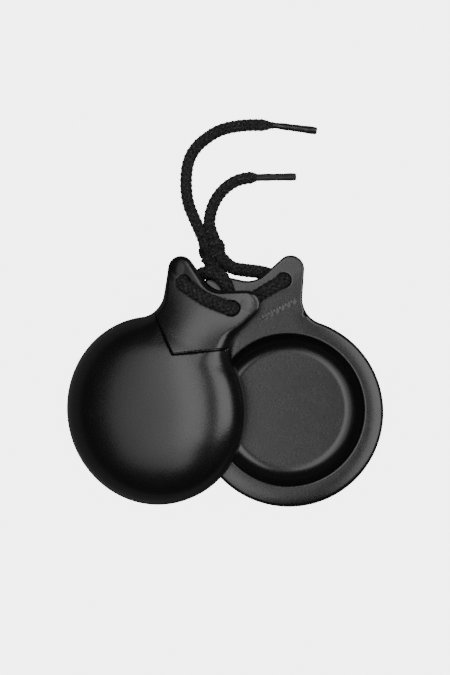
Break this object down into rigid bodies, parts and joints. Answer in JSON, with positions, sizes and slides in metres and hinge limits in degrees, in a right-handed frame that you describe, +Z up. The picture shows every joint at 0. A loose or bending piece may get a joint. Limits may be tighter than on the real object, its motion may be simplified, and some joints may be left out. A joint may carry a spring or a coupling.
{
  "type": "castanets",
  "caption": "Pair of hollowed round clapper shells with two-lobed ears, strung together by one knotted braided cord and lying fanned open.",
  "frame": {"origin": "middle of the footprint of the shells, held cord and knot, on the table", "axes": "+X from the shell lying bowl upwards to the shell lying on its back; +Y towards the ears and the knot; +Z up"},
  "size_m": [0.1112, 0.1371, 0.0295],
  "materials": {
    "composite": "satin moulded fibre composite",
    "braid": "braided polyester cord",
    "sealed_end": "melted and drawn cord end"
  },
  "bodies": {
    "base": {"right_shell": "composite", "back_right": "braid", "back_left": "braid", "knot": "braid", "tail_upper": "braid", "tail_lower": "braid", "tip_upper": "sealed_end", "tip_lower": "sealed_end"},
    "cord_hinge": {"link_right": "braid", "link_left": "braid"},
    "upper": {"left_shell": "composite", "front_run": "braid"}
  },
  "joints": [
    {"name": "fan_swing", "type": "hinge", "parent": "base", "child": "cord_hinge", "pos_m": [0.00129, 0.04584, 0.015], "axis": [-0.1594, 0.3639, 0.9177], "range_deg": [0, 44], "deforming": ["link_right", "link_left"]},
    {"name": "clap", "type": "hinge", "parent": "cord_hinge", "child": "upper", "pos_m": [-0.0031, 0.02981, 0.01898], "axis": [-0.8499, 0.4544, -0.2668], "range_deg": [0, 40]}
  ]
}
